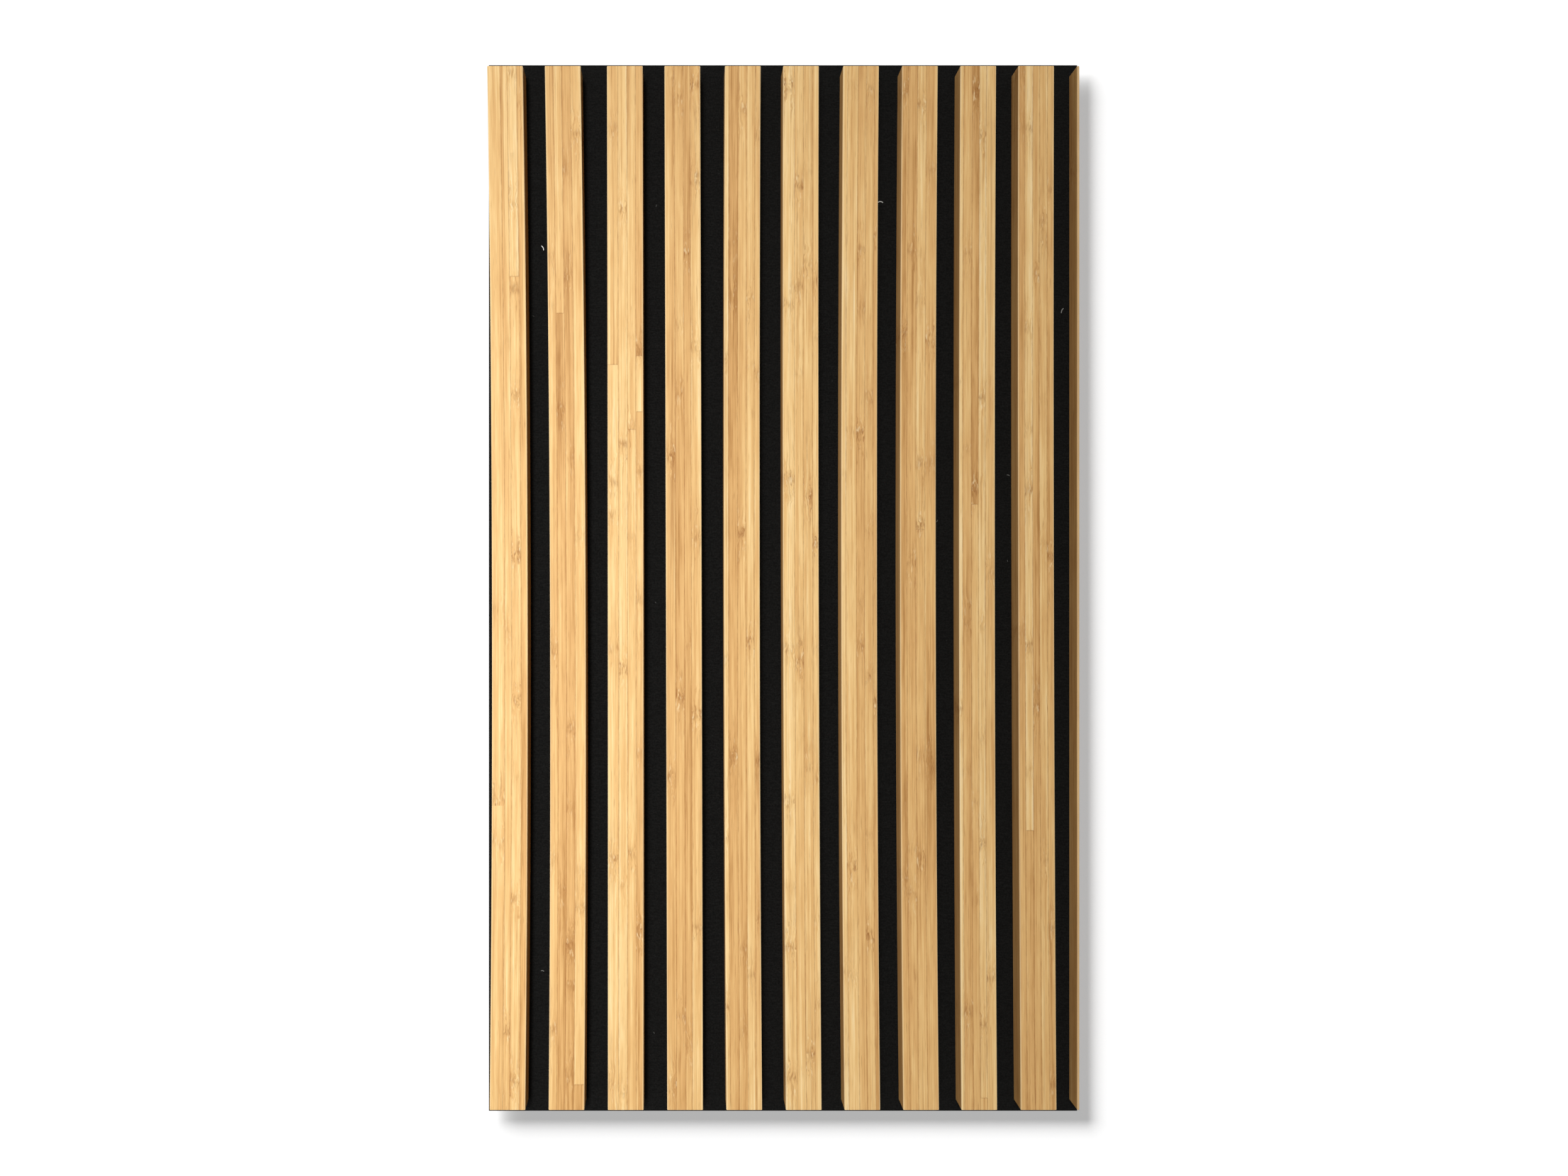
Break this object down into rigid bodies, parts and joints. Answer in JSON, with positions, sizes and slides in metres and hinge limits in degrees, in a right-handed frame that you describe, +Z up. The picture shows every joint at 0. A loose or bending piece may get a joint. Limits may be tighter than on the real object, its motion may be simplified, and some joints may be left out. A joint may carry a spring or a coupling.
{
  "type": "acoustic slat wall panel",
  "caption": "Wall panel of upright laminated bamboo slats, glued and stapled with open gaps between them to a black felt board that damps sound.",
  "frame": {"origin": "centre of the felt board's back face, which lies against the wall", "axes": "+Z up along the slats, +X to the right seen from the front, +Y into the wall; the slats' fronts face -Y"},
  "size_m": [0.409, 0.021, 0.727],
  "materials": {
    "bamboo": "side-pressed natural bamboo, sanded, clear satin",
    "black_felt": "black needled polyester felt, matt",
    "staple_wire": "galvanised flat wire"
  },
  "bodies": {
    "root": {"felt_board": "black_felt", "slat_01": "bamboo", "slat_02": "bamboo", "slat_03": "bamboo", "slat_04": "bamboo", "slat_05": "bamboo", "slat_06": "bamboo", "slat_07": "bamboo", "slat_08": "bamboo", "slat_09": "bamboo", "slat_10": "bamboo", "slat_11_trimmed": "bamboo", "back_staples": "staple_wire"}
  },
  "joints": []
}
